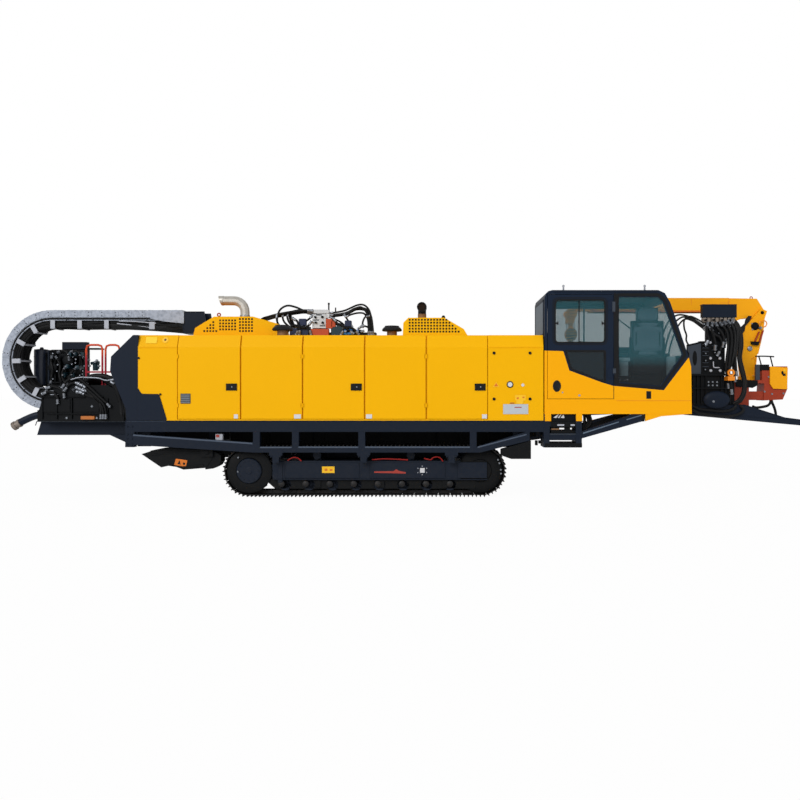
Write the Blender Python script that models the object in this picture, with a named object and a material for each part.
"""A horizontal directional drill on tracks, at its real size.

Metres, +Z up, +X the way it drills, +Y the far side, where the mast lies beside the hood.
The origin is on the ground under the middle of the machine.
"""

import math

import bmesh
import bpy
from mathutils import Matrix, Vector

# Gaps: between pieces that touch, and around pieces that move
SEAT = 0.0003
RUN = 0.006

# Across the machine
HALF_WIDTH = 1.5
KNUCKLE = 0.014
SIDE_FRAME_THICKNESS = 0.12
MAST_NEAR, MAST_FAR = 0.20, 1.00

# Tracks
TRACK_REAR, TRACK_FRONT = -2.587, 1.338
TRACK_RADIUS = 0.44
TRACK_WIDTH = 0.60
TRACK_MIDDLE = HALF_WIDTH - 0.45
SHOE_PITCH = 0.203
LUG_HEIGHT = 0.030
TRACK_THICKNESS = 0.10
TEETH_PER_SHOE = 3
ROLLER_RADIUS = 0.10
ROLLER_PITCH = 0.40
BOTTOM_ROLLERS = 8
WHEEL_CLEARANCE = 0.012
TRACK_FRAME_LOW, TRACK_FRAME_TOP = 0.285, 0.61
TRACK_FRAME_REAR, TRACK_FRAME_FRONT = -2.176, 1.0
TRACK_FRAME_WIDTH = 0.52

# Side frames
DECK_TOP = 1.30
DECK_BEAM = 0.19
CHORD_LOW, CHORD_HEIGHT = 0.765, 0.093
FRAME_REAR, FRAME_FRONT = -4.62, 2.39
BRACKET_WIDTH = 0.15
POSTS = (-2.423, -1.770, -0.659, 1.210)
POST_WIDTH = 0.112
HANGERS = (-2.10, -0.628, 0.846)
HANGER_WIDTH, HANGER_DROP = 0.22, 0.175

# Centre frame
BODY_REAR, BODY_FRONT = -1.90, 0.75
BODY_NEAR, BODY_FAR = -0.55, 0.44
BODY_LOW, BODY_TOP = 0.35, 0.92
DECK_PLATE = 0.15
AXLES = (-1.45, 0.35)
AXLE_WIDTH = 0.30
CROSS_BEAMS = (-4.35, 2.00)
CROSS_BEAM_WIDTH = 0.22
CROSS_BEAM_LOW, CROSS_BEAM_TOP = 0.79, 0.935
ARM_NEAR, ARM_FAR = 0.04, 1.06
ARM_THICKNESS = 0.10
PIVOT_X, PIVOT_Z = 3.60, 1.44
PIVOT_RADIUS = 0.05

# Stabiliser legs
LEG_PIVOT_X, LEG_PIVOT_Z = -3.30, 0.76
LEG_NEAR, LEG_FAR = HALF_WIDTH - 0.46, HALF_WIDTH - 0.18
LEG_LENGTH = 1.114
LEG_LUG = 0.03

# Hood
HOOD_REAR, HOOD_FRONT = -4.405, 2.385
HOOD_LOW = DECK_TOP + SEAT
HOOD_TOP = 2.737
HOOD_BEND = 2.53
HOOD_FAR = -0.12
HOOD_CHAMFER = 0.08
HOOD_WALL = 0.08
DOOR_THICKNESS = 0.035
DOOR_GAP = 0.024
DOOR_POST = 0.06
KNUCKLE_HEIGHTS = (1.52, 2.34)
KNUCKLE_LENGTH = 0.07
SEAMS = (-3.752, -2.688, -1.650, -0.610, 0.424, 1.457)
DOOR_HINGES = ("left", "right", "left", "right", "left")

# Cab
CAB_REAR, CAB_FRONT = 2.404, 4.871
CAB_NEAR, CAB_FAR = -1.50, -0.03
CAB_LOW, CAB_TOP = 1.41, 3.487
CAB_FLOOR = 1.66
CAB_WALL = 0.05
PANE = 0.012
CAB_DOOR_REAR, CAB_DOOR_FRONT = 2.457, 3.559
DOOR_PIVOT = (3.561, -1.502)
CAB_HINGES = (2.06, 3.20)
FAR_WINDOW = (2.60, 3.31)

# Mast
MAST_REAR = -6.95
MAST_LOW, MAST_HEIGHT = 0.96, 0.264
CRANK_START, CRANK_END = 2.20, 3.30
NECK_LOW, NECK_TOP = 1.365, 1.53
NECK_FRONT = 5.20
NOSE_FRONT = 7.50
NOSE_SLOPE = ((6.40, NECK_TOP), (7.14, 1.293))
PIPE_AXIS_Y, PIPE_AXIS_Z = 0.60, 1.80
WRENCH_RADIUS = 0.235
PIPE_BORE = 0.12

# Drag chain
CHAIN_NEAR, CHAIN_FAR = 0.0, 0.40
CHAIN_MIDDLE_X, CHAIN_MIDDLE_Z = -6.57, 2.365
CHAIN_RADIUS = 0.93
CHAIN_BAND = 0.14
CHAIN_PITCH = 0.225
CHAIN_TOP_END = -4.14
CHAIN_LOW_END = -6.42
BUNDLE_DEPTH = 0.18
RAIL_TOP = 2.65

# Carriage
CARRIAGE_FRONT = -5.20
CARRIAGE_NEAR = -0.09
CARRIAGE_TOP = 1.86

# Crane
CRANE_Y = 1.10
SLEW_X = 6.75
LUFF_X, LUFF_Z = 7.02, 3.339
BOOM_TIP = 3.60
BOOM_WIDTH = 0.24
BOOM_WALL = 0.02
CRANE_SLOT = 0.085
HOOK_X, HOOK_Z = 3.24, 3.20

# Tank under the far walkway
TANK_DEPTH = 0.34

# Mast tilt cylinder
TILT_BASE = (0.50, 0.78)
TILT_EYE = (-1.40, 0.86)


def start():
    """An empty scene with one collection for the machine."""
    for item in list(bpy.data.objects):
        bpy.data.objects.remove(item, do_unlink=True)
    home = bpy.data.collections.new("directional_drill")
    bpy.context.scene.collection.children.link(home)
    return home


HOME = start()


def new_object(name, mesh):
    item = bpy.data.objects.new(name, mesh)
    HOME.objects.link(item)
    return item


def box(x, y, z):
    """A block between the two values of each pair."""
    mesh = bpy.data.meshes.new("block")
    work = bmesh.new()
    bmesh.ops.create_cube(work, size=1.0)
    size = (x[1] - x[0], y[1] - y[0], z[1] - z[0])
    middle = ((x[0] + x[1]) / 2, (y[0] + y[1]) / 2, (z[0] + z[1]) / 2)
    bmesh.ops.scale(work, vec=size, verts=work.verts)
    bmesh.ops.translate(work, vec=middle, verts=work.verts)
    work.to_mesh(mesh)
    work.free()
    return new_object("block", mesh)


def rod(start_point, end_point, radius, sides=16, end_radius=None):
    """A round bar or cone between two points."""
    a, b = Vector(start_point), Vector(end_point)
    mesh = bpy.data.meshes.new("rod")
    work = bmesh.new()
    turn = (b - a).to_track_quat("Z", "Y").to_matrix().to_4x4()
    place = Matrix.Translation((a + b) / 2) @ turn
    bmesh.ops.create_cone(
        work,
        cap_ends=True,
        segments=sides,
        radius1=radius,
        radius2=radius if end_radius is None else end_radius,
        depth=(b - a).length,
        matrix=place,
    )
    work.to_mesh(mesh)
    work.free()
    return new_object("rod", mesh)


AXES = {
    # Columns: where the outline's first, second and the extrusion direction go
    "x": Matrix(((0, 0, 1), (1, 0, 0), (0, 1, 0))),
    "y": Matrix(((1, 0, 0), (0, 0, -1), (0, 1, 0))),
    "z": Matrix(((1, 0, 0), (0, 1, 0), (0, 0, 1))),
}


def plate(outline, axis, low, high, holes=()):
    """A flat outline given in the two other axes, extruded along one axis."""
    curve = bpy.data.curves.new("outline", "CURVE")
    curve.dimensions = "2D"
    curve.fill_mode = "BOTH"
    curve.extrude = (high - low) / 2
    for points in (outline, *holes):
        spline = curve.splines.new("POLY")
        spline.points.add(len(points) - 1)
        for point, (u, v) in zip(spline.points, points):
            point.co = (u, v, 0, 1)
        spline.use_cyclic_u = True
    middle = (low + high) / 2
    turn = AXES[axis].to_4x4()
    away = -middle if axis == "y" else middle
    shape = bpy.data.objects.new("outline", curve)
    HOME.objects.link(shape)
    shape.matrix_world = turn @ Matrix.Translation((0, 0, away))
    return meshed(shape)


def tube(points, radius, sides=2, smooth=True):
    """A bent tube through the points."""
    curve = bpy.data.curves.new("tube", "CURVE")
    curve.dimensions = "3D"
    curve.bevel_depth = radius
    curve.bevel_resolution = sides
    curve.use_fill_caps = True
    curve.resolution_u = 1
    spline = curve.splines.new("POLY")
    path = rounded(points) if smooth else [Vector(p) for p in points]
    spline.points.add(len(path) - 1)
    for point, place in zip(spline.points, path):
        point.co = (*place, 1)
    shape = bpy.data.objects.new("tube", curve)
    HOME.objects.link(shape)
    return meshed(shape)


def rounded(points, steps=4):
    """A smooth Catmull-Rom line through the points."""
    p = [Vector(q) for q in points]
    p = [p[0] * 2 - p[1], *p, p[-1] * 2 - p[-2]]
    line = []
    for i in range(1, len(p) - 2):
        for k in range(steps):
            t = k / steps
            a, b, c, d = p[i - 1], p[i], p[i + 1], p[i + 2]
            line.append(
                0.5
                * (
                    2 * b
                    + (c - a) * t
                    + (2 * a - 5 * b + 4 * c - d) * t**2
                    + (3 * b - a - 3 * c + d) * t**3
                )
            )
    line.append(p[-2])
    return line


def meshed(shape):
    """The curve as a closed mesh in its place, with its caps welded."""
    bpy.context.view_layer.update()
    seen = shape.evaluated_get(bpy.context.evaluated_depsgraph_get())
    mesh = bpy.data.meshes.new_from_object(seen)
    mesh.transform(shape.matrix_world)
    work = bmesh.new()
    work.from_mesh(mesh)
    bmesh.ops.remove_doubles(work, verts=work.verts, dist=0.00002)
    bmesh.ops.recalc_face_normals(work, faces=work.faces)
    work.to_mesh(mesh)
    work.free()
    bpy.data.objects.remove(shape, do_unlink=True)
    return new_object("solid", mesh)


def combined(first, others, operation):
    """One solid from the first with the others added or cut away."""
    for other in others:
        step = first.modifiers.new("step", "BOOLEAN")
        step.operation = operation
        step.solver = "EXACT"
        step.object = other
    bpy.context.view_layer.update()
    seen = first.evaluated_get(bpy.context.evaluated_depsgraph_get())
    mesh = bpy.data.meshes.new_from_object(seen)
    for item in (first, *others):
        bpy.data.objects.remove(item, do_unlink=True)
    return new_object("solid", mesh)


def join(first, *others):
    return combined(first, others, "UNION")


def cut(first, *others):
    return combined(first, others, "DIFFERENCE")


def named(item, name, colour, roughness=0.5, metallic=0.0, pivot=None):
    """Names a finished solid, paints it, and puts its origin on its joint's axis."""
    item.name = name
    item.data.name = name
    paint = bpy.data.materials.new(name)
    paint.use_nodes = True
    shader = paint.node_tree.nodes["Principled BSDF"]
    shader.inputs["Base Color"].default_value = (*colour, 1)
    shader.inputs["Roughness"].default_value = roughness
    shader.inputs["Metallic"].default_value = metallic
    item.data.materials.clear()
    item.data.materials.append(paint)
    if pivot is not None:
        item.data.transform(Matrix.Translation(-Vector(pivot)))
        item.location = pivot
    item.data.shade_smooth()
    item.data.set_sharp_from_angle(angle=math.radians(35))
    return item


# Paint colours, linear
YELLOW = (0.90, 0.46, 0.01)
NAVY = (0.014, 0.022, 0.045)
BLACK = (0.012, 0.012, 0.014)
DARK = (0.03, 0.032, 0.036)
SILVER = (0.45, 0.48, 0.55)
RED = (0.42, 0.05, 0.03)
GLASS = (0.25, 0.38, 0.38)


def inset(points, depth):
    """A convex outline drawn in by the same depth on every side."""
    inner = []
    count = len(points)
    area = sum(
        points[i][0] * points[(i + 1) % count][1]
        - points[(i + 1) % count][0] * points[i][1]
        for i in range(count)
    )
    side = 1 if area > 0 else -1
    for i in range(count):
        a, b, c = (Vector(points[(i + k) % count]) for k in (-1, 0, 1))
        first = (b - a).normalized()
        second = (c - b).normalized()
        n1 = Vector((-first.y, first.x)) * side
        n2 = Vector((-second.y, second.x)) * side
        corner = (n1 + n2) / (1 + n1.dot(n2))
        inner.append(tuple(b + corner * depth))
    return inner


def arc(middle, radius, start_deg, end_deg, steps):
    """Points on a circle from one angle to another."""
    turn = [
        math.radians(start_deg + (end_deg - start_deg) * i / steps)
        for i in range(steps + 1)
    ]
    return [
        (middle[0] + radius * math.cos(a), middle[1] + radius * math.sin(a))
        for a in turn
    ]


def stadium_point(distance, radius):
    """A point at a distance along the track's path, offset to a radius."""
    straight = TRACK_FRONT - TRACK_REAR
    path = TRACK_RADIUS - LUG_HEIGHT
    bend = math.pi * path
    d = distance % (2 * straight + 2 * bend)
    if d < straight:
        return (TRACK_REAR + d, TRACK_RADIUS + radius)
    d -= straight
    if d < bend:
        a = math.pi / 2 - d / path
        return (
            TRACK_FRONT + radius * math.cos(a),
            TRACK_RADIUS + radius * math.sin(a),
        )
    d -= bend
    if d < straight:
        return (TRACK_FRONT - d, TRACK_RADIUS - radius)
    d -= straight
    a = -math.pi / 2 - d / path
    return (TRACK_REAR + radius * math.cos(a), TRACK_RADIUS + radius * math.sin(a))


def build_tracks():
    """Each track is one loop: its outline holds three lugs on every shoe."""
    straight = TRACK_FRONT - TRACK_REAR
    length = 2 * straight + 2 * math.pi * (TRACK_RADIUS - LUG_HEIGHT)
    shoes = round(length / SHOE_PITCH)
    pitch = length / shoes
    tooth = pitch / TEETH_PER_SHOE
    outer = []
    for i in range(shoes * TEETH_PER_SHOE):
        outer.append(stadium_point(i * tooth, TRACK_RADIUS - LUG_HEIGHT))
        outer.append(stadium_point((i + 0.5) * tooth, TRACK_RADIUS))
    inner_radius = TRACK_RADIUS - TRACK_THICKNESS
    inner = arc((TRACK_FRONT, TRACK_RADIUS), inner_radius, 90, -90, 12)
    inner += arc((TRACK_REAR, TRACK_RADIUS), inner_radius, 270, 90, 12)
    for side, word in ((-1, "near"), (1, "far")):
        y = sorted(
            (
                side * (TRACK_MIDDLE - TRACK_WIDTH / 2),
                side * (TRACK_MIDDLE + TRACK_WIDTH / 2),
            )
        )
        loop = plate(outer, "y", *y, holes=[inner])
        named(loop, f"track_{word}", BLACK, 0.7)
        build_track_frame(side, word)


def build_track_frame(side, word):
    """Side frame with sprocket, idler and rollers, one casting per side."""
    middle = side * TRACK_MIDDLE
    half = TRACK_FRAME_WIDTH / 2
    inside = TRACK_RADIUS - TRACK_THICKNESS

    def across(x, z, radius, width, sides=16):
        return rod((x, middle - width, z), (x, middle + width, z), radius, sides)

    base = box(
        (TRACK_FRAME_REAR, TRACK_FRAME_FRONT),
        (middle - half, middle + half),
        (TRACK_FRAME_LOW, TRACK_FRAME_TOP),
    )
    pieces = [
        across(TRACK_REAR, TRACK_RADIUS, inside - WHEEL_CLEARANCE, 0.20, 20),
        across(TRACK_REAR, TRACK_RADIUS, 0.21, half + 0.03),
        across(TRACK_FRONT, TRACK_RADIUS, inside - WHEEL_CLEARANCE, 0.20, 20),
        box(
            (TRACK_FRAME_FRONT - 0.1, TRACK_FRONT),
            (middle - 0.24, middle + 0.24),
            (TRACK_RADIUS - 0.09, TRACK_RADIUS + 0.09),
        ),
        box(
            (TRACK_REAR, TRACK_FRAME_REAR + 0.1),
            (middle - 0.24, middle + 0.24),
            (TRACK_RADIUS - 0.10, TRACK_RADIUS + 0.10),
        ),
    ]
    roller_z = TRACK_THICKNESS + SEAT + ROLLER_RADIUS
    for i in range(BOTTOM_ROLLERS):
        x = TRACK_FRAME_REAR + 0.20 + i * ROLLER_PITCH
        pieces.append(across(x, roller_z, ROLLER_RADIUS, half - 0.03, 12))
    top_z = 2 * TRACK_RADIUS - TRACK_THICKNESS - WHEEL_CLEARANCE - 0.07
    for x in (-1.45, 0.15):
        pieces.append(across(x, top_z, 0.07, 0.18, 10))
        pieces.append(
            box((x - 0.06, x + 0.06), (middle - 0.1, middle + 0.1), (0.5, top_z))
        )
    frame = join(base, *pieces)
    named(frame, f"track_frame_{word}", NAVY, 0.5)


def side_outline():
    """Outline of a side frame with its bays, in X and Z."""
    beam_low = DECK_TOP - DECK_BEAM
    chord_top = CHORD_LOW + CHORD_HEIGHT
    first, last = POSTS[0] - POST_WIDTH / 2, POSTS[-1] + POST_WIDTH / 2
    slope_end = FRAME_FRONT - 0.236
    outer = [(FRAME_REAR, DECK_TOP), (FRAME_FRONT, DECK_TOP)]
    outer += [(FRAME_FRONT, beam_low), (slope_end, beam_low)]
    outer += [(slope_end, beam_low - 0.144), (last + 0.06, CHORD_LOW)]
    for x in reversed(HANGERS):
        half = HANGER_WIDTH / 2
        drop = CHORD_LOW - HANGER_DROP
        outer += [(x + half, CHORD_LOW), (x + half, CHORD_LOW - 0.05)]
        outer += [(x + half / 2, CHORD_LOW - 0.05), (x + half / 2, drop)]
        outer += [(x - half / 2, drop), (x - half / 2, CHORD_LOW - 0.05)]
        outer += [(x - half, CHORD_LOW - 0.05), (x - half, CHORD_LOW)]
    bracket = FRAME_REAR + BRACKET_WIDTH
    outer += [(first, CHORD_LOW), (bracket, CHORD_LOW + 0.126)]
    outer += [(bracket, CHORD_LOW + 0.09), (FRAME_REAR, CHORD_LOW + 0.09)]
    bays = [
        [
            (bracket, beam_low),
            (bracket, beam_low - 0.04),
            (first, chord_top + 0.07),
            (first, beam_low),
        ]
    ]
    for a, b in zip(POSTS, POSTS[1:]):
        x0, x1 = a + POST_WIDTH / 2, b - POST_WIDTH / 2
        bays.append(
            [(x0, beam_low), (x0, chord_top), (x1, chord_top), (x1, beam_low)]
        )
    bays.append(
        [(last, beam_low), (last, chord_top), (slope_end - 0.06, beam_low)]
    )
    return outer, bays


def build_frames():
    outer, bays = side_outline()
    inner = HALF_WIDTH - SIDE_FRAME_THICKNESS
    near = plate(outer, "y", -HALF_WIDTH, -inner, bays)
    named(near, "side_frame_near", NAVY, 0.45)
    far = plate(outer, "y", inner, HALF_WIDTH, bays)
    named(far, "side_frame_far", NAVY, 0.45)
    build_centre_frame(inner - SEAT)


def build_centre_frame(half):
    """Body between the tracks, deck under the hood, cross beams and mast arms."""
    body = box((BODY_REAR, BODY_FRONT), (BODY_NEAR, BODY_FAR), (BODY_LOW, BODY_TOP))
    deck_low = DECK_TOP - DECK_PLATE
    pieces = [
        box((FRAME_REAR + 0.02, FRAME_FRONT), (-half, -0.04), (deck_low, DECK_TOP)),
        box((BODY_REAR, BODY_FRONT), (BODY_NEAR, -0.04), (BODY_TOP - 0.1, deck_low + 0.05)),
    ]
    track_inside = TRACK_MIDDLE - TRACK_FRAME_WIDTH / 2 - SEAT
    for x in AXLES:
        pieces.append(
            box(
                (x - AXLE_WIDTH / 2, x + AXLE_WIDTH / 2),
                (-track_inside, track_inside),
                (TRACK_FRAME_LOW + 0.06, TRACK_FRAME_TOP - 0.02),
            )
        )
    for x in CROSS_BEAMS:
        span = (x - CROSS_BEAM_WIDTH / 2, x + CROSS_BEAM_WIDTH / 2)
        low = CROSS_BEAM_LOW + (0.07 if x < 0 else 0)
        pieces.append(box(span, (-half, half), (low, CROSS_BEAM_TOP)))
        pieces.append(
            box(span, (-half, -0.04), (CROSS_BEAM_TOP - 0.05, deck_low + 0.05))
        )
        pieces.append(
            box(span, (half - 0.2, half), (CROSS_BEAM_TOP - 0.05, DECK_TOP - 0.02))
        )
    front = CROSS_BEAMS[1]
    arm = [
        (front - 0.1, CROSS_BEAM_LOW + 0.02),
        (2.55, CROSS_BEAM_LOW + 0.11),
        (3.20, NECK_LOW - 0.035),
        (PIVOT_X + 0.34, NECK_LOW - 0.005),
        (PIVOT_X + 0.34, NECK_TOP + 0.02),
        (PIVOT_X - 0.40, NECK_TOP + 0.02),
        (2.60, DECK_TOP),
        (front - 0.1, DECK_TOP),
    ]
    pieces.append(plate(arm, "y", ARM_NEAR, ARM_NEAR + ARM_THICKNESS))
    pieces.append(plate(arm, "y", ARM_FAR, ARM_FAR + ARM_THICKNESS))
    pieces.append(
        box((front, FRAME_FRONT), (-0.06, ARM_NEAR + 0.02), (deck_low, DECK_TOP))
    )
    # Lugs of the stabiliser legs, under a short cross beam behind the tracks
    beam = (LEG_PIVOT_X - 0.06, LEG_PIVOT_X + 0.16)
    pieces.append(box(beam, (-half, half), (0.895, 0.935)))
    pieces.append(box(beam, (-half + 0.38, -0.04), (0.925, deck_low + 0.05)))
    for side in (-1, 1):
        for y in (LEG_NEAR - RUN - LEG_LUG, LEG_FAR + RUN):
            edges = sorted((side * y, side * (y + LEG_LUG)))
            pieces.append(
                box(
                    (LEG_PIVOT_X - 0.10, LEG_PIVOT_X + 0.10),
                    edges,
                    (LEG_PIVOT_Z - 0.08, 0.90),
                )
            )
    # Bracket of the tilt cylinder, on the far axle
    x, z = TILT_BASE
    for y in (PIPE_AXIS_Y - 0.14, PIPE_AXIS_Y + 0.11):
        pieces.append(
            box((x - 0.10, x + 0.10), (y, y + 0.03), (TRACK_FRAME_TOP - 0.06, z + 0.09))
        )
    # Stepped box in front of the near track
    pieces.append(box((1.82, 2.17), (-half, -half + 0.38), (0.66, CROSS_BEAM_LOW + 0.05)))
    frame = join(body, *pieces)
    named(frame, "centre_frame", NAVY, 0.5)


def build_legs():
    """Folding stabiliser legs behind the tracks."""
    outline = [
        (LEG_PIVOT_X - LEG_LENGTH, LEG_PIVOT_Z - 0.036),
        (LEG_PIVOT_X - 0.927, LEG_PIVOT_Z + 0.024),
        (LEG_PIVOT_X - 0.30, LEG_PIVOT_Z + 0.03),
        (LEG_PIVOT_X + 0.05, LEG_PIVOT_Z + 0.05),
        (LEG_PIVOT_X + 0.10, LEG_PIVOT_Z - 0.03),
        (LEG_PIVOT_X + 0.08, LEG_PIVOT_Z - 0.12),
        (LEG_PIVOT_X - 0.02, LEG_PIVOT_Z - 0.27),
        (LEG_PIVOT_X - 0.40, LEG_PIVOT_Z - 0.30),
        (LEG_PIVOT_X - 0.604, LEG_PIVOT_Z - 0.223),
        (LEG_PIVOT_X - 0.779, LEG_PIVOT_Z - 0.262),
    ]
    for side, word in ((-1, "near"), (1, "far")):
        edges = sorted((side * LEG_NEAR, side * LEG_FAR))
        leg = plate(outline, "y", *edges)
        hub = sorted((side * (LEG_NEAR - RUN + SEAT), side * (LEG_FAR + RUN - SEAT)))
        at = (LEG_PIVOT_X, LEG_PIVOT_Z)
        leg = join(leg, rod((at[0], hub[0], at[1]), (at[0], hub[1], at[1]), 0.04, 12))
        pivot = (LEG_PIVOT_X, side * (LEG_NEAR + LEG_FAR) / 2, LEG_PIVOT_Z)
        named(leg, f"stabiliser_{word}", BLACK, 0.6, pivot=pivot)


def hood_profile(depth):
    """The hood's cross section in Y and Z, drawn in by a depth."""
    points = [
        (-HALF_WIDTH, HOOD_LOW),
        (-HALF_WIDTH, HOOD_BEND),
        (-HALF_WIDTH + HOOD_CHAMFER, HOOD_TOP),
        (HOOD_FAR - HOOD_CHAMFER, HOOD_TOP),
        (HOOD_FAR, HOOD_BEND),
        (HOOD_FAR, HOOD_LOW),
    ]
    return inset(points, depth)


def door_profile(face, back, low, high):
    """Cross section of the near wall between two depths and two heights."""
    slope = HOOD_CHAMFER / (HOOD_TOP - HOOD_BEND)
    outer = [
        (-HALF_WIDTH + face, low),
        (-HALF_WIDTH + face, HOOD_BEND),
        (-HALF_WIDTH + face + slope * (high - HOOD_BEND), high),
    ]
    inner = [
        (-HALF_WIDTH + back + slope * (high - HOOD_BEND), high),
        (-HALF_WIDTH + back, HOOD_BEND),
        (-HALF_WIDTH + back, low),
    ]
    return outer + inner


def build_hood():
    """Hollow hood with a recess along the near side for the doors."""
    shell = plate(hood_profile(0), "x", HOOD_REAR, HOOD_FRONT)
    hollow = plate(
        hood_profile(HOOD_WALL), "x", HOOD_REAR + HOOD_WALL, HOOD_FRONT - HOOD_WALL
    )
    under = box(
        (HOOD_REAR + HOOD_WALL, HOOD_FRONT - HOOD_WALL),
        (-HALF_WIDTH + HOOD_WALL, HOOD_FAR - HOOD_WALL),
        (HOOD_LOW - 0.1, HOOD_LOW + 2 * HOOD_WALL),
    )
    back = DOOR_THICKNESS + 0.008
    recess = plate(
        door_profile(-0.2, back, HOOD_LOW + 0.02, HOOD_TOP + 0.1), "x", SEAMS[0], SEAMS[-1]
    )
    cutters = [hollow, under, recess]
    for a, b in zip(SEAMS, SEAMS[1:]):
        cutters.append(
            box(
                (a + DOOR_POST, b - DOOR_POST),
                (-HALF_WIDTH - 0.1, -HALF_WIDTH + 2 * HOOD_WALL),
                (HOOD_LOW + 0.10, HOOD_BEND - 0.06),
            )
        )
    shell = cut(shell, *cutters)
    knuckles = []
    for i, hinge in enumerate(DOOR_HINGES):
        a = SEAMS[i] + DOOR_GAP / 2
        b = SEAMS[i + 1] - DOOR_GAP / 2
        seam = SEAMS[i] if hinge == "left" else SEAMS[i + 1]
        for z in KNUCKLE_HEIGHTS:
            x = a if hinge == "left" else b
            knuckles.append(
                rod((x, -HALF_WIDTH, z), (x, -HALF_WIDTH, z + KNUCKLE_LENGTH), 0.011, 12)
            )
            knuckles.append(
                box(
                    (seam - 0.006, seam + 0.006),
                    (-HALF_WIDTH - 0.004, -HALF_WIDTH + HOOD_WALL - 0.02),
                    (z + 0.004, z + KNUCKLE_LENGTH - 0.004),
                )
            )
        panel = plate(
            door_profile(0, DOOR_THICKNESS, HOOD_LOW + 0.028, HOOD_TOP - 0.002), "x", a, b
        )
        x = a if hinge == "left" else b
        notches = [
            box(
                (x - 0.017, x + 0.017),
                (-HALF_WIDTH - 0.1, -HALF_WIDTH + 0.1),
                (z - SEAT, z + KNUCKLE_LENGTH + SEAT),
            )
            for z in KNUCKLE_HEIGHTS
        ]
        panel = cut(panel, *notches)
        pivot = (x, -HALF_WIDTH, HOOD_LOW)
        named(panel, f"hood_door_{i + 1}", YELLOW, 0.3, pivot=pivot)
    named(join(shell, *knuckles), "hood_shell", YELLOW, 0.3)
    end = [
        (HOOD_REAR - SEAT, HOOD_LOW),
        (-4.60, HOOD_LOW),
        (-4.613, 1.494),
        (-4.874, 2.13),
        (-4.858, 2.373),
        (-4.489, HOOD_TOP - 0.003),
        (HOOD_REAR - SEAT, HOOD_TOP - 0.003),
    ]
    shield = plate(end, "y", -HALF_WIDTH, HOOD_FAR)
    relief = box(
        (-4.70, HOOD_REAR - 0.10),
        (-HALF_WIDTH + 0.10, HOOD_FAR + 0.1),
        (HOOD_LOW - 0.1, HOOD_BEND - 0.08),
    )
    named(cut(shield, relief), "hood_end", NAVY, 0.4)


def build_hood_top():
    """Perforated humps, air cleaner caps and exhausts on the hood's roof."""
    low = HOOD_TOP + SEAT
    humps = {
        # Columns: X and Z of each corner
        "hump_rear": [
            (-3.614, low),
            (-3.58, 2.882),
            (-3.252, 3.08),
            (-2.578, 3.08),
            (-2.164, 2.96),
            (-2.06, low),
        ],
        "hump_front": [
            (0.023, low),
            (0.033, 2.95),
            (0.117, 3.034),
            (0.729, 3.034),
            (1.055, 2.843),
            (1.117, low),
        ],
    }
    far = HOOD_FAR - 0.18
    for name, outline in humps.items():
        near = -HALF_WIDTH + (0.42 if name == "hump_rear" else 0.12)
        shell = plate(outline, "y", near, far)
        hollow = plate(inset(outline, 0.03), "y", near + 0.03, far - 0.03)
        floor = box(
            (outline[0][0] + 0.08, outline[-1][0] - 0.08),
            (near + 0.05, far - 0.05),
            (low - 0.1, low + 0.06),
        )
        named(cut(shell, hollow, floor), name, YELLOW, 0.35)
    caps = {
        # Columns: X, Y, height of the cap's rim over the roof
        "precleaner_rear": (-2.026, -1.30, 0.085),
        "precleaner_front": (-0.187, -0.95, 0.10),
    }
    for name, (x, y, rise) in caps.items():
        stem = rod((x, y, low), (x, y, low + rise + 0.01), 0.085)
        cap = rod((x, y, low + rise), (x, y, low + rise + 0.09), 0.168, 20, 0.12)
        named(join(stem, cap), name, BLACK, 0.5)
    build_exhausts()


def build_exhausts():
    top = 3.08 + SEAT
    x, y = -2.736, -1.0
    bend = [(x, y, top), (x, y, top + 0.09)]
    bend += [(x - 0.19 + u, y, top + 0.09 + v) for u, v in arc((0, 0), 0.19, 0, 90, 6)][1:]
    bend += [(x - 0.40, y, top + 0.28)]
    named(tube(bend, 0.08, 3, smooth=False), "exhaust_rear", SILVER, 0.35, 0.9)
    x, y = 0.34, -1.05
    top = 3.034 + SEAT
    stub = rod((x, y, top), (x, y, top + 0.16), 0.07)
    mouth = rod((x, y - 0.13, top + 0.20), (x, y + 0.08, top + 0.20), 0.08)
    named(join(stub, mouth), "exhaust_front", BLACK, 0.6)


def build_power():
    """Engine and pump blocks inside the hood, and the manifold on its roof."""
    low = DECK_TOP + 2 * SEAT
    engine = box((-0.6, 1.2), (-1.25, -0.40), (low, 2.25))
    named(engine, "engine_block", DARK, 0.6)
    pumps = box((-3.6, -2.0), (-1.25, -0.40), (low, 2.05))
    named(pumps, "pump_block", DARK, 0.6)
    low = HOOD_TOP + SEAT
    base = box((-1.95, -0.50), (-0.62, -0.36), (low, low + 0.10))
    rows = [
        # Columns: X from, X to, height over the roof
        (-2.00, -1.69, 0.21),
        (-1.63, -1.39, 0.43),
        (-1.30, -1.10, 0.21),
        (-1.06, -0.76, 0.15),
    ]
    blocks = [
        box((a, b), (-0.60, -0.38), (low + 0.02, low + rise)) for a, b, rise in rows
    ]
    blocks.append(
        tube(
            [
                (-1.96, -0.50, low + 0.16),
                (-2.05, -0.50, low + 0.42),
                (-1.92, -0.50, low + 0.49),
                (-1.76, -0.50, low + 0.48),
                (-1.50, -0.50, low + 0.38),
            ],
            0.032,
        )
    )
    blocks.append(
        tube(
            [
                (-1.50, -0.52, low + 0.38),
                (-1.06, -0.52, low + 0.44),
                (-0.86, -0.52, low + 0.53),
                (-0.68, -0.52, low + 0.51),
                (-0.60, -0.52, low + 0.38),
                (-0.56, -0.52, low + 0.05),
            ],
            0.032,
        )
    )
    named(join(base, *blocks), "manifold", DARK, 0.4)


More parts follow.
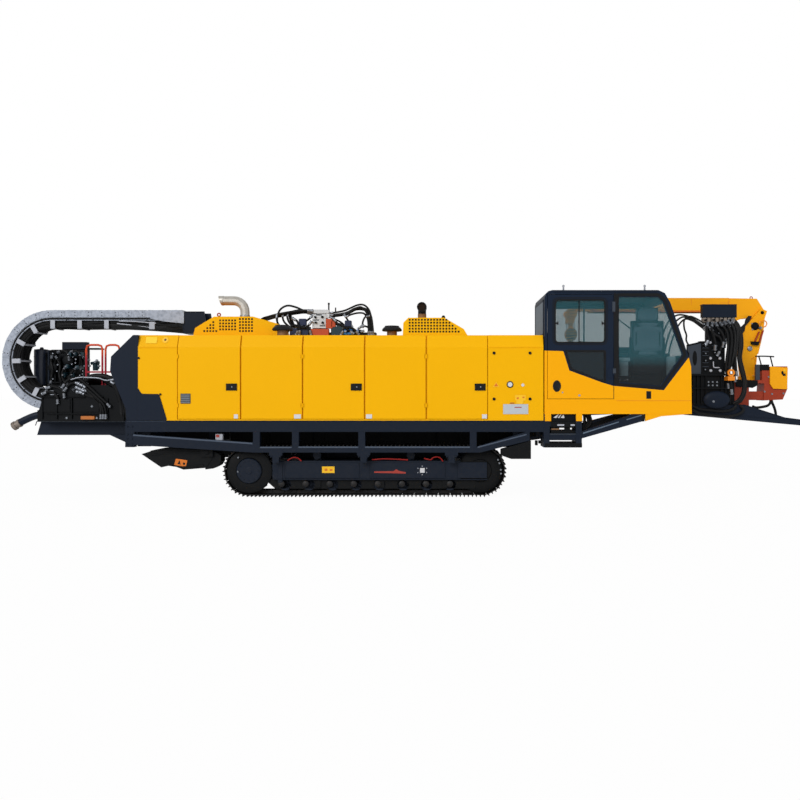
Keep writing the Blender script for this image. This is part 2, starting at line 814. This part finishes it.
def cab_outline():
    """The cab's side view in X and Z."""
    corner = 0.13
    rear = [(CAB_REAR, CAB_LOW)]
    rear += [
        (CAB_REAR + corner - corner * math.cos(a), CAB_TOP - corner + corner * math.sin(a))
        for a in (0, math.pi / 6, math.pi / 3, math.pi / 2)
    ]
    front = [
        (4.31, CAB_TOP),
        (4.42, CAB_TOP - 0.05),
        (4.516, CAB_TOP - 0.218),
        (4.819, 2.365),
        (4.861, 2.198),
        (CAB_FRONT, CAB_LOW),
    ]
    return list(reversed(rear + front))


def door_window():
    return [(2.58, 2.61), (3.42, 2.61), (3.42, 3.32), (2.58, 3.32)]


def build_cab():
    """Hollow cab with its door opening and windows cut."""
    outline = cab_outline()
    shell = plate(outline, "y", CAB_NEAR, CAB_FAR)
    inner = [(u, max(v, CAB_FLOOR)) for u, v in inset(outline, CAB_WALL)]
    hollow = plate(inner, "y", CAB_NEAR + CAB_WALL, CAB_FAR - CAB_WALL)
    reach = (CAB_NEAR - 0.1, CAB_NEAR + CAB_WALL + 0.05)
    door_hole = box(
        (CAB_DOOR_REAR - 0.008, CAB_DOOR_FRONT + 0.008), reach, (CAB_FLOOR, 3.42)
    )
    side = side_window()
    side_hole = plate(inset(side, 0.03), "y", *reach)
    far_hole = box((2.62, 4.40), (CAB_FAR - 0.12, CAB_FAR + 0.1), FAR_WINDOW)
    slant = [(4.40, 3.30), (4.70, 2.40), (5.1, 2.40), (5.1, 3.30)]
    front_hole = plate(slant, "y", CAB_NEAR + 0.10, CAB_FAR - 0.10)
    cab = cut(shell, hollow, door_hole, side_hole, far_hole, front_hole)
    x, y = DOOR_PIVOT
    hinges = [
        rod((x, y, z), (x, y, z + KNUCKLE_LENGTH), 0.012, 12) for z in CAB_HINGES
    ]
    named(join(cab, *hinges), "cab_shell", YELLOW, 0.3)
    build_cab_door()
    build_panes(side)


def side_window():
    """The fixed near window in X and Z, run anticlockwise."""
    return [
        (3.62, 1.92),
        (4.36, 1.85),
        (4.745, 2.40),
        (4.41, 3.315),
        (4.31, 3.40),
        (3.62, 3.40),
    ]


def build_cab_door():
    y = (CAB_NEAR, CAB_NEAR + CAB_WALL - 0.006)
    panel = box((CAB_DOOR_REAR, CAB_DOOR_FRONT), y, (CAB_FLOOR + 0.008, 3.412))
    upper = plate(door_window(), "y", y[0] - 0.1, y[1] + 0.1)
    lower = [(2.75, 2.47), (2.85, 2.17), (3.36, 1.97), (3.42, 1.955), (3.42, 2.47)]
    low_hole = plate(lower, "y", y[0] - 0.1, y[1] + 0.1)
    x, at = DOOR_PIVOT
    notches = [
        box(
            (x - 0.018, x + 0.02),
            (at - 0.1, at + 0.1),
            (z - SEAT, z + KNUCKLE_LENGTH + SEAT),
        )
        for z in CAB_HINGES
    ]
    door = cut(panel, upper, low_hole, *notches)
    pivot = (x, at, CAB_FLOOR)
    named(door, "cab_door", NAVY, 0.35, pivot=pivot)
    edge = SEAT
    pane_y = (CAB_NEAR + 0.015, CAB_NEAR + 0.015 + PANE)
    pane = plate(inset(door_window(), edge), "y", *pane_y)
    named(pane, "door_glass", GLASS, 0.05, pivot=pivot)
    pane = plate(inset(lower, edge), "y", *pane_y)
    named(pane, "door_low_glass", GLASS, 0.05, pivot=pivot)


def build_panes(side):
    y = (CAB_NEAR + 0.012, CAB_NEAR + 0.012 + PANE)
    pane = plate(inset(side, 0.03 + SEAT), "y", *y)
    named(pane, "side_glass", GLASS, 0.05)
    far = box(
        (2.62 + SEAT, 4.40 - SEAT),
        (CAB_FAR - 0.03, CAB_FAR - 0.03 + PANE),
        (FAR_WINDOW[0] + SEAT, FAR_WINDOW[1] - SEAT),
    )
    named(far, "far_glass", GLASS, 0.05)
    a, b = Vector((4.516, CAB_TOP - 0.218)), Vector((4.819, 2.365))
    run = (b - a).normalized()
    out = Vector((-run.y, run.x))
    top = a + run * ((3.30 - SEAT * 2 - a.y) / run.y)
    low = a + run * ((2.40 + SEAT * 2 - a.y) / run.y)
    sheet = [top - out * 0.012, low - out * 0.012]
    sheet += [low - out * (0.012 + PANE), top - out * (0.012 + PANE)]
    sheet = [(p.x, min(max(p.y, 2.40 + SEAT), 3.30 - SEAT)) for p in sheet]
    front = plate(sheet, "y", CAB_NEAR + 0.10 + SEAT, CAB_FAR - 0.10 - SEAT)
    named(front, "front_glass", GLASS, 0.05)


def build_seat():
    """Operator's seat facing the mast, with a console on each side."""
    x, y = 4.22, -0.78
    floor = CAB_FLOOR + SEAT
    base = box((x - 0.22, x + 0.22), (y - 0.22, y + 0.22), (floor, 2.06))
    pieces = [
        box((x - 0.26, x + 0.26), (y - 0.26, y + 0.30), (2.02, 2.22)),
        box((x - 0.27, x + 0.27), (y - 0.38, y - 0.24), (2.12, 3.00)),
        box((x - 0.18, x + 0.18), (y - 0.37, y - 0.25), (2.96, 3.22)),
        box((x - 0.46, x - 0.30), (y - 0.20, y + 0.30), (floor + 0.1, 2.40)),
        box((x + 0.30, x + 0.42), (y - 0.20, y + 0.30), (floor + 0.1, 2.40)),
        box((x - 0.46, x + 0.42), (y - 0.10, y + 0.10), (floor + 0.1, 2.05)),
    ]
    named(join(base, *pieces), "seat", DARK, 0.8)


def build_steps():
    """Steps under the cab with the slanted strut that carries its front."""
    x0, x1 = FRAME_FRONT + SEAT, 3.03
    y0, y1 = -HALF_WIDTH, -HALF_WIDTH + 0.45
    top = CAB_LOW - SEAT
    base = box((x0, x0 + 0.10), (y0, y1), (0.85, 1.29))
    pieces = [box((x1 - 0.10, x1), (y0, y1), (0.85, top))]
    for low, high in ((0.85, 0.91), (0.97, 1.08), (1.20, 1.27)):
        pieces.append(box((x0 + 0.05, x1 - 0.05), (y0 + 0.01, y1 - 0.01), (low, high)))
    pieces.append(box((x0, x0 + 0.10), (y0, y1), (1.27, top)))
    strut = [
        (x1 - 0.05, 0.985),
        (4.06, 1.29),
        (4.10, top),
        (3.90, top),
        (x1 - 0.05, 1.10),
    ]
    pieces.append(plate(strut, "y", y0 + 0.02, y0 + 0.14))
    arm = [(x1 - 0.05, 1.08), (3.95, top), (3.703, top), (x1 - 0.05, 1.215)]
    pieces.append(plate(arm, "y", y1 - 0.14, y1 - 0.02))
    named(join(base, *pieces), "steps", NAVY, 0.5)


def mast_outline():
    return [
        (MAST_REAR, MAST_LOW),
        (CRANK_START, MAST_LOW),
        (CRANK_END, NECK_LOW),
        (NECK_FRONT, NECK_LOW),
        (NECK_FRONT, NECK_TOP),
        (CRANK_END - 0.15, NECK_TOP),
        (CRANK_START - 0.10, MAST_LOW + MAST_HEIGHT),
        (MAST_REAR + 0.08, MAST_LOW + MAST_HEIGHT),
    ]


def build_mast():
    """The mast's beam, with its pivot pins, rack and cylinder lugs."""
    beam = plate(mast_outline(), "y", MAST_NEAR, MAST_FAR)
    pin_reach = (ARM_NEAR + ARM_THICKNESS + SEAT, ARM_FAR - SEAT)
    pin = rod(
        (PIVOT_X, pin_reach[0], PIVOT_Z), (PIVOT_X, pin_reach[1], PIVOT_Z), PIVOT_RADIUS
    )
    rack = box(
        (-5.1, 2.0),
        (PIPE_AXIS_Y - 0.06, PIPE_AXIS_Y + 0.06),
        (MAST_LOW + MAST_HEIGHT - 0.02, MAST_LOW + MAST_HEIGHT + 0.06),
    )
    x, z = TILT_EYE
    recess = box((x - 0.35, x + 0.16), (PIPE_AXIS_Y - 0.11, PIPE_AXIS_Y + 0.11), (0.9, z + 0.22))
    lugs = [
        box((x - 0.07, x + 0.07), (y, y + 0.03), (z - 0.06, MAST_LOW + 0.05))
        for y in (PIPE_AXIS_Y - 0.14, PIPE_AXIS_Y + 0.11)
    ]
    mast = cut(join(beam, pin, rack, *lugs), recess)
    named(mast, "mast_beam", NAVY, 0.45, pivot=(PIVOT_X, PIPE_AXIS_Y, PIVOT_Z))
    nose = [
        (NECK_FRONT + SEAT, 1.345),
        (NOSE_FRONT, 1.134),
        (NOSE_FRONT, 1.246),
        NOSE_SLOPE[1],
        NOSE_SLOPE[0],
        (NECK_FRONT + SEAT, NECK_TOP),
    ]
    named(plate(nose, "y", MAST_NEAR, MAST_FAR), "nose_beam", NAVY, 0.45)


def build_carriage():
    """Carriage on the mast's rear, the power head above it and its spindle."""
    low = MAST_LOW + MAST_HEIGHT + SEAT
    seat = CHAIN_MIDDLE_Z - CHAIN_RADIUS - SEAT
    body = box((-6.80, CARRIAGE_FRONT), (CARRIAGE_NEAR, 1.06), (low, seat))
    side = [
        (-6.78, seat - 0.02),
        (CARRIAGE_FRONT, seat - 0.02),
        (CARRIAGE_FRONT - 0.05, 1.75),
        (-5.50, 1.90),
        (-6.62, 1.90),
    ]
    pieces = [
        plate(side, "y", CARRIAGE_NEAR, CHAIN_NEAR - RUN),
        box((-6.80, CARRIAGE_FRONT), (CHAIN_FAR + RUN, 1.06), (seat - 0.02, CARRIAGE_TOP)),
        box((-6.0, CARRIAGE_FRONT), (0.36, 0.86), (seat, 2.08)),
        box(
            (CHAIN_LOW_END + SEAT, CARRIAGE_FRONT - 0.1),
            (CARRIAGE_NEAR + 0.03, CHAIN_FAR + 0.02),
            (seat - 0.02, CARRIAGE_TOP - 0.01),
        ),
    ]
    named(join(body, *pieces), "carriage", BLACK, 0.6)
    low = CARRIAGE_TOP + SEAT
    head = box((-6.79, -6.38), (CHAIN_FAR + 0.03, 1.04), (low, 2.58))
    pieces = [
        box((-6.5, -6.13), (CHAIN_FAR + 0.03, 0.60), (low, 2.60)),
        box((-6.58, -6.12), (0.42, 0.56), (2.56, 2.725)),
        rod((-7.07, 0.60, low + 0.02), (-7.07, 0.60, 2.59), 0.125, 20),
        rod((-7.07, 0.88, low + 0.02), (-7.07, 0.88, 2.59), 0.125, 20),
        box((-7.07, -6.7), (0.54, 0.94), (low + 0.06, 2.52)),
    ]
    named(join(head, *pieces), "power_head", DARK, 0.5)
    face = CARRIAGE_FRONT + SEAT
    y, z = PIPE_AXIS_Y, PIPE_AXIS_Z
    spindle = join(
        rod((face, y, z), (face + 0.22, y, z), 0.13, 20),
        rod((face + 0.20, y, z), (face + 0.50, y, z), 0.09, 20),
    )
    named(spindle, "drive_spindle", SILVER, 0.4, 0.8, pivot=(face, y, z))
    build_handrail()
    pipe = tube(
        [(-6.70, 0.06, 1.36), (-6.90, 0.06, 1.33), (-7.10, 0.06, 1.25), (-7.32, 0.06, 1.13)],
        0.068,
        3,
    )
    clear = box((-6.80 - SEAT, -5.2), (-0.2, 1.1), (1.2, 1.6))
    named(cut(pipe, clear), "mud_pipe", DARK, 0.5)


def build_handrail():
    """Red tube loops round the service platform behind the hood."""
    low, top = CARRIAGE_TOP - 0.01 + SEAT, RAIL_TOP
    y = 0.06
    plinth = box((-6.0, -5.30), (y - 0.03, y + 0.16), (low, low + 0.02))
    pieces = []
    for a, b in ((-5.96, -5.66), (-5.60, -5.34)):
        loop = [(a, y, low + 0.01), (a, y, top - 0.08)]
        loop += [(a + 0.02, y, top - 0.02), (a + 0.08, y, top)]
        loop += [(b - 0.08, y, top), (b - 0.02, y, top - 0.02)]
        loop += [(b, y, top - 0.08), (b, y, low + 0.01)]
        pieces.append(tube(loop, 0.02, 2, smooth=False))
    pieces.append(box((-5.97, -5.33), (y - 0.013, y + 0.013), (2.13, 2.16)))
    named(join(plinth, *pieces), "handrail", RED, 0.4)


def chain_path(depth, low_end, top_end):
    """The chain's line at a depth under its outer edge, from low end to top end."""
    radius = CHAIN_RADIUS - depth
    middle = (CHAIN_MIDDLE_X, CHAIN_MIDDLE_Z)
    line = [(low_end, CHAIN_MIDDLE_Z - radius)]
    line += arc(middle, radius, 270, 90, 18)
    line += [(top_end, CHAIN_MIDDLE_Z + radius)]
    return line


def build_chain():
    """Drag chain: one band whose outer edge steps at each link, and its hoses inside."""
    outer = []
    notch = 0.012
    steps = 14
    middle = (CHAIN_MIDDLE_X, CHAIN_MIDDLE_Z)
    for i in range(steps):
        a = 270 - 180 * i / steps
        b = 270 - 180 * (i + 1) / steps
        outer += arc(middle, CHAIN_RADIUS, a - 0.2, b + 1.0, 1)
        outer += arc(middle, CHAIN_RADIUS - notch, b + 0.8, b, 1)
    links = round((CHAIN_TOP_END - CHAIN_MIDDLE_X) / CHAIN_PITCH)
    top = CHAIN_MIDDLE_Z + CHAIN_RADIUS
    for i in range(links):
        x = CHAIN_MIDDLE_X + (CHAIN_TOP_END - CHAIN_MIDDLE_X) * i / links
        far = CHAIN_MIDDLE_X + (CHAIN_TOP_END - CHAIN_MIDDLE_X) * (i + 1) / links
        outer += [(x + 0.01, top), (far - 0.01, top)]
        outer += [(far - 0.006, top - notch), (far, top - notch)]
    outline = [(CHAIN_LOW_END, CHAIN_MIDDLE_Z - CHAIN_RADIUS)] + outer
    outline += list(reversed(chain_path(CHAIN_BAND, CHAIN_LOW_END, CHAIN_TOP_END)))
    kept = outline[:1]
    for point in outline[1:]:
        if (Vector(point) - Vector(kept[-1])).length > 0.002:
            kept.append(point)
    named(plate(kept, "y", CHAIN_NEAR, CHAIN_FAR), "drag_chain", SILVER, 0.4, 0.6)
    start_depth = CHAIN_BAND + SEAT
    bundle = chain_path(start_depth, CHAIN_LOW_END, CHAIN_TOP_END)
    bundle += list(
        reversed(chain_path(start_depth + BUNDLE_DEPTH, CHAIN_LOW_END, CHAIN_TOP_END))
    )
    side = 0.03
    named(
        plate(bundle, "y", CHAIN_NEAR + side, CHAIN_FAR - side),
        "chain_hoses",
        BLACK,
        0.6,
    )


def build_trough():
    """Trough that the chain's upper run lies in, on posts from the mast."""
    x0, x1 = CHAIN_TOP_END + SEAT, -2.80
    z0, z1 = 2.86, 3.27
    side = [(x0, z0), (x1, z0), (x1, 3.0), (-3.70, 3.0), (-3.74, z1), (x0, z1)]
    shell = plate(side, "y", CHAIN_NEAR, CHAIN_FAR + 0.04)
    hollow = box(
        (x0 + 0.30, x1 + 0.1), (CHAIN_NEAR + 0.02, CHAIN_FAR + 0.02), (z0 + 0.03, z1 + 0.1)
    )
    trough = cut(shell, hollow)
    foot = MAST_LOW + MAST_HEIGHT + SEAT
    posts = []
    for x in (-3.9, -3.0):
        posts.append(box((x - 0.05, x + 0.05), (0.30, 0.40), (foot, z0 + 0.01)))
    named(join(trough, *posts), "chain_trough", NAVY, 0.45)


def build_vises():
    """Vise tower on the mast's neck, with the turning wrench ring round the pipe."""
    low = NECK_TOP + SEAT
    y, z = PIPE_AXIS_Y, PIPE_AXIS_Z
    tower = box((5.28, 5.98), (0.14, 1.06), (low, 2.10))
    ring_bore = rod((5.50, y, z), (5.76, y, z), WRENCH_RADIUS + RUN, 24)
    pipe_bore = rod((5.2, y, z), (6.1, y, z), PIPE_BORE, 20)
    tower = cut(tower, ring_bore, pipe_bore)
    ear = [(5.28, 2.08), (5.54, 2.08), (5.54, 2.717), (5.28, 2.66)]
    pieces = [
        box((5.53, 5.98), (0.14, 0.30), (2.08, 2.726)),
        plate(ear, "y", 0.14, 0.18),
        box((5.69, 6.03), (0.20, 0.32), (2.60, 3.18)),
        box((5.575, 6.206), (0.14, 0.28), (3.173, 3.413)),
    ]
    tower = join(tower, *pieces)
    named(tower, "vise_tower", BLACK, 0.5)
    ring = cut(
        rod((5.50 + SEAT, y, z), (5.76 - SEAT, y, z), WRENCH_RADIUS, 24),
        rod((5.4, y, z), (5.9, y, z), PIPE_BORE - 0.02, 20),
    )
    named(ring, "wrench_ring", SILVER, 0.4, 0.8, pivot=(5.63, y, z))
    front = box((5.98 + SEAT, 6.20), (0.22, 0.98), (low, 2.05))
    bore = rod((5.9, y, z), (6.5, y, z), PIPE_BORE, 20)
    named(cut(front, bore), "front_vise", BLACK, 0.5)


def build_crane():
    """Folding crane: base on the nose, slewing column, luffing boom, sliding section."""
    y = CRANE_Y
    base = box((6.40, 6.95), (0.80, 1.26), (1.94, 2.00))
    (x0, z0), (x1, z1) = NOSE_SLOPE
    fall = (z1 - z0) / (x1 - x0)
    foot = [(x, z0 + fall * (x - x0) + 2 * SEAT) for x in (6.40, 6.69)]
    cheek = [(6.98, 1.60), (7.36, 1.62), (7.45, 1.83), (7.45, 2.27)]
    cheek += [(7.17, 2.27), (7.17, 2.19), (6.955, 2.19), (6.955, 1.99), (6.90, 1.99)]
    cheek += [(6.90, 1.95), (7.00, 1.93)]
    pieces = [
        plate([*foot, (6.69, 1.88), (6.40, 1.88)], "y", 0.80, CRANE_Y),
        box((6.40, 6.70), (0.80, 1.26), (1.86, 1.97)),
        box((6.62, 7.20), (0.84, 1.06), (1.61, 1.78)),
        plate(cheek, "y", 0.82, 1.20),
    ]
    named(join(base, *pieces), "crane_base", RED, 0.45)
    foot = 2.00 + SEAT
    turntable = rod((SLEW_X, y, foot), (SLEW_X, y, foot + 0.08), 0.17, 20)
    post = [
        (6.65, foot + 0.05),
        (6.88, foot + 0.05),
        (6.95, 2.85),
        (7.117, 3.37),
        (7.00, 3.42),
        (6.86, 3.26),
        (6.58, 2.95),
        (6.60, 2.50),
    ]
    column = join(turntable, plate(post, "y", y - 0.12, y + 0.12))
    slot = [(6.3, 2.45), (6.62, 2.2), (6.80, 2.2), (6.84, 2.6)]
    slot += [(6.84, 3.0), (7.2, 3.18), (7.2, 3.7), (6.3, 3.7)]
    column = cut(column, plate(slot, "y", y - CRANE_SLOT, y + CRANE_SLOT))
    named(column, "crane_column", YELLOW, 0.35, pivot=(SLEW_X, y, foot))
    build_boom(y)


def build_boom(y):
    top, low = 3.63, 3.345
    half = BOOM_WIDTH / 2
    tube_part = box((BOOM_TIP, 6.36), (y - half, y + half), (low, top))
    hollow = box(
        (BOOM_TIP + 0.12, 6.10),
        (y - half + BOOM_WALL, y + half - BOOM_WALL),
        (low + BOOM_WALL, top - BOOM_WALL),
    )
    pad = BOOM_WALL + RUN - SEAT
    mouth = box(
        (BOOM_TIP - 0.1, BOOM_TIP + 0.14),
        (y - half + pad, y + half - pad),
        (low + pad, top - pad),
    )
    tube_part = cut(tube_part, hollow, mouth)
    outline = [(6.30, low), (6.50, 3.17), (6.62, 3.22), (7.06, 3.26)]
    outline += [(7.09, 3.36), (6.93, top - 0.01), (6.30, top)]
    head = plate(outline, "y", y - 0.078, y + 0.078)
    reach = CRANE_SLOT - SEAT
    luff = (LUFF_X, LUFF_Z)
    hub = rod((luff[0], y - reach, luff[1]), (luff[0], y + reach, luff[1]), 0.05, 14)
    boom = join(tube_part, head, hub)
    eye_slot = box((6.38, 6.78), (y - 0.035, y + 0.035), (3.0, 3.30))
    named(cut(boom, eye_slot), "crane_boom", YELLOW, 0.35, pivot=(LUFF_X, y, LUFF_Z))
    play = BOOM_WALL + RUN
    inner = box(
        (3.36, 6.00),
        (y - half + play, y + half - play),
        (low + play, top - play),
    )
    tip = box((3.32, 3.46), (y - 0.09, y + 0.09), (3.40, 3.62))
    ears = [
        plate(
            [(3.14, 3.13), (3.29, 3.13), (3.38, 3.42), (3.38, 3.56), (3.20, 3.50)],
            "y",
            a,
            a + 0.03,
        )
        for a in (y - 0.09, y + 0.06)
    ]
    named(join(inner, tip, *ears), "crane_extension", YELLOW, 0.35)
    point = [(HOOK_X - 0.03, 2.80), (HOOK_X + 0.03, 2.80), (HOOK_X + 0.08, 2.74)]
    point += [(HOOK_X + 0.05, 2.70), (HOOK_X - 0.07, 2.70), (HOOK_X - 0.08, 2.76)]
    ear = 0.06 - SEAT
    hook = join(
        box((HOOK_X - 0.045, HOOK_X + 0.045), (y - 0.05, y + 0.05), (2.95, HOOK_Z + 0.035)),
        rod((HOOK_X, y - ear, HOOK_Z), (HOOK_X, y + ear, HOOK_Z), 0.03, 12),
        rod((HOOK_X, y - 0.05, 2.94), (HOOK_X, y + 0.05, 2.94), 0.075, 16),
        box((HOOK_X - 0.03, HOOK_X + 0.03), (y - 0.03, y + 0.03), (2.78, 2.90)),
        plate(point, "y", y - 0.02, y + 0.02),
    )
    named(hook, "crane_hook", BLACK, 0.5, pivot=(HOOK_X, y, HOOK_Z))
    # Lift cylinder between the column and the boom
    foot, eye = Vector((6.72, y, 2.28)), Vector((6.47, y, 3.22))
    run = (eye - foot).normalized()
    barrel = join(
        rod(foot - Vector((0, reach, 0)), foot + Vector((0, reach, 0)), 0.05, 12),
        rod(foot, foot + run * 0.80, 0.055, 14),
    )
    bore = 0.036
    barrel = cut(barrel, rod(foot + run * 0.12, foot + run * 1.0, bore, 12))
    named(barrel, "lift_barrel", BLACK, 0.4, pivot=foot)
    piston = join(
        rod(foot + run * 0.15, eye - run * 0.02, 0.026, 12),
        rod(foot + run * 0.13, foot + run * 0.18, bore - SEAT, 12),
    )
    named(piston, "lift_rod", SILVER, 0.2, 0.9, pivot=foot)


def build_tilt_cylinder():
    """Cylinder that raises the mast's rear, from the frame to the beam's lugs."""
    y = PIPE_AXIS_Y
    foot = Vector((TILT_BASE[0], y, TILT_BASE[1]))
    eye = Vector((TILT_EYE[0], y, TILT_EYE[1]))
    run = (eye - foot).normalized()
    side = Vector((0, 0.10, 0))
    seat = Vector((0, 0.11 - SEAT, 0))
    bore = 0.06
    barrel = join(
        rod(foot - seat, foot + seat, 0.06, 12), rod(foot, foot + run * 1.60, 0.085, 16)
    )
    barrel = cut(barrel, rod(foot + run * 0.12, foot + run * 1.9, bore, 14))
    named(barrel, "tilt_barrel", NAVY, 0.4, pivot=foot)
    rod_part = join(
        rod(foot + run * 0.16, eye, 0.05, 14),
        rod(foot + run * 0.14, foot + run * 0.20, bore - SEAT, 14),
        rod(eye - side, eye + side, 0.055, 12),
    )
    named(rod_part, "tilt_rod", SILVER, 0.2, 0.9, pivot=foot)


def build_far_side():
    """Walkway with its rail and the tank along the far side."""
    inner = HALF_WIDTH - SIDE_FRAME_THICKNESS
    low = DECK_TOP + SEAT
    deck = box(
        (FRAME_REAR + 0.05, FRAME_FRONT - 0.05), (1.12, HALF_WIDTH + KNUCKLE), (low, low + 0.04)
    )
    pieces = []
    for x in (-4.5, -2.8, -1.1, 0.6, 2.28):
        pieces.append(rod((x, 1.46, low + 0.02), (x, 1.46, low + 1.03), 0.024, 8))
    for z in (0.52, 1.0):
        pieces.append(box((-4.5, 2.28), (1.447, 1.473), (low + z - 0.015, low + z + 0.015)))
    pieces.append(box((-4.10, -3.55), (1.13, inner - SEAT), (low - TANK_DEPTH, low + 0.02)))
    named(join(deck, *pieces), "far_walkway", NAVY, 0.5)


build_tracks()
build_frames()
build_legs()
build_hood()
build_hood_top()
build_power()
build_cab()
build_seat()
build_steps()
build_mast()
build_carriage()
build_chain()
build_trough()
build_vises()
build_crane()
build_tilt_cylinder()
build_far_side()
